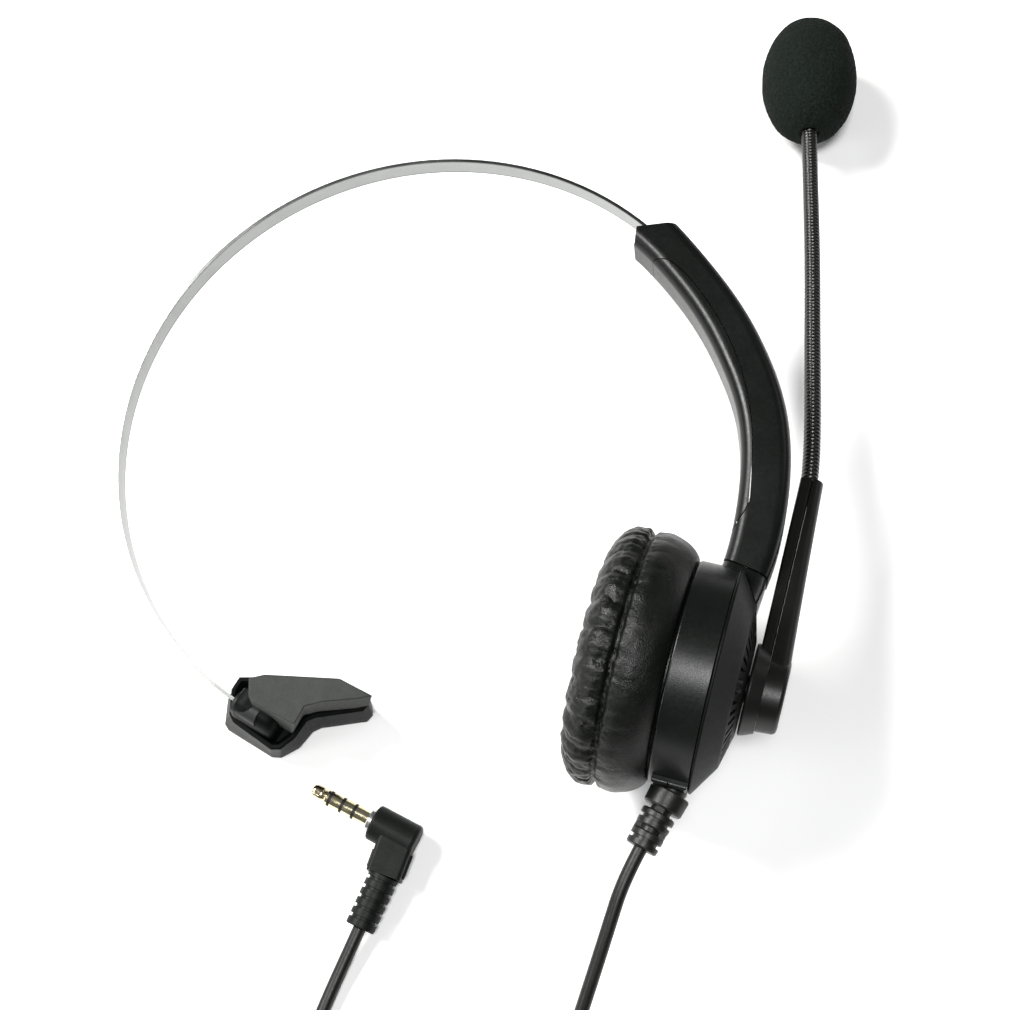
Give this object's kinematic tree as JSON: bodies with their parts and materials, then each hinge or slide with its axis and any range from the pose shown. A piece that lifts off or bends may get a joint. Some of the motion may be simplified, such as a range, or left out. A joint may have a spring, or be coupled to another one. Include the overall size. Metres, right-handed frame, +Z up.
{
  "type": "office headset",
  "caption": "Single-ear wired office headset: padded ear cup, swivelling arm, sliding steel headband with temple pad, gooseneck microphone, angled audio plug.",
  "frame": {"origin": "centre of the bounding box of the headset without its cord, on the surface it lies on", "axes": "+Z up from the surface, +Y towards the microphone, +X from the temple pad to the ear cup's boom side"},
  "size_m": [0.186, 0.3092, 0.0579],
  "materials": {
    "black_abs": "satin moulded, near black",
    "leatherette": "soft wrinkled leatherette, low sheen",
    "speaker_fabric": "thin woven acoustic cloth",
    "film": "thin translucent film",
    "copper": "wound wire",
    "magnet": "dull sintered magnet",
    "plated_steel": "bright plated",
    "board": "board laminate",
    "soft_pvc": "soft matt moulding",
    "cord_pvc": "smooth cord jacket",
    "tie_fabric": "woven hook-and-loop strap",
    "gold_plate": "polished gold plate",
    "spring_steel": "bright spring steel",
    "pad_rubber": "matt rubber",
    "gooseneck": "black coated wound metal",
    "foam": "open cell foam"
  },
  "bodies": {
    "ear_cup": {"cup_housing": "black_abs", "rear_cover": "black_abs", "cover_screws": "plated_steel", "ear_cushion": "leatherette", "speaker_cloth": "speaker_fabric", "speaker_baffle": "black_abs", "driver_gasket": "speaker_fabric", "driver_frame": "black_abs", "driver_diaphragm": "film", "driver_voice_coil": "copper", "driver_magnet": "magnet", "driver_yoke": "plated_steel", "vent_mesh": "speaker_fabric", "junction_board": "board", "speaker_leads": "cord_pvc", "boom_spindle": "black_abs", "hub_screw": "plated_steel", "swivel_pin": "plated_steel", "cord_gland": "soft_pvc", "cord_lead": "cord_pvc", "cord_coil": "cord_pvc", "coil_tie": "tie_fabric", "cord_tail": "cord_pvc", "plug_relief": "soft_pvc", "plug_body": "soft_pvc", "plug_collar": "plated_steel", "plug_sleeve": "gold_plate", "plug_ring_rear": "gold_plate", "plug_ring_front": "gold_plate", "plug_tip": "gold_plate", "plug_insulators": "black_abs"},
    "headband_arm": {"arm_shell": "black_abs", "arm_cover": "black_abs", "arm_screws": "plated_steel", "detent_spring": "spring_steel"},
    "headband": {"headband_strip": "spring_steel", "strip_stop": "plated_steel", "pad_pivot": "black_abs"},
    "temple_support": {"pad_tray": "black_abs", "temple_pad": "pad_rubber"},
    "mic_boom": {"boom_shell": "black_abs", "boom_inner_cover": "black_abs", "boom_washer": "black_abs", "hub_spring": "plated_steel", "gooseneck_root": "gooseneck"},
    "gooseneck_a": {"gooseneck_lower": "gooseneck"},
    "gooseneck_b": {"gooseneck_middle": "gooseneck"},
    "mic_end": {"gooseneck_upper": "gooseneck", "mic_ferrule": "black_abs", "mic_housing": "black_abs", "mic_boot": "soft_pvc", "mic_capsule": "plated_steel", "mic_grille": "black_abs", "windscreen": "foam"}
  },
  "joints": [
    {"name": "arm_swivel", "type": "hinge", "parent": "ear_cup", "child": "headband_arm", "pos_m": [0.05107, -0.05822, 0.03042], "axis": [0.4509, 0.8882, 0.0883], "range_deg": [-6, 6]},
    {"name": "band_slide", "type": "hinge", "parent": "headband_arm", "child": "headband", "pos_m": [-0.0197, -0.02145, 0.02193], "axis": [-0.1344, -0.0302, 0.9905], "range_deg": [-24, 5.5]},
    {"name": "pad_tilt", "type": "hinge", "parent": "headband", "child": "temple_support", "pos_m": [-0.05743, -0.08385, 0.01491], "axis": [0.8466, -0.523, 0.099], "range_deg": [-15, 15]},
    {"name": "boom_rotate", "type": "hinge", "parent": "ear_cup", "child": "mic_boom", "pos_m": [0.05274, -0.08467, 0.03188], "axis": [0.9524, -0.2857, 0.106], "range_deg": [-140, 140]},
    {"name": "gooseneck_bend_1", "type": "hinge", "parent": "mic_boom", "child": "gooseneck_a", "pos_m": [0.07041, -0.01994, 0.02212], "axis": [0.0129, 0.118, 0.9929], "range_deg": [-15, 15]},
    {"name": "gooseneck_bend_2", "type": "hinge", "parent": "gooseneck_a", "child": "gooseneck_b", "pos_m": [0.07331, 0.00666, 0.01892], "axis": [0.0104, 0.1039, 0.9945], "range_deg": [-15, 15]},
    {"name": "gooseneck_bend_3", "type": "hinge", "parent": "gooseneck_b", "child": "mic_end", "pos_m": [0.07601, 0.03366, 0.01607], "axis": [0.0075, 0.0942, 0.9955], "range_deg": [-15, 15]}
  ],
  "couplings": [
    {"joint": "gooseneck_bend_2", "follows": "gooseneck_bend_1", "ratio": 1},
    {"joint": "gooseneck_bend_3", "follows": "gooseneck_bend_1", "ratio": 1}
  ]
}
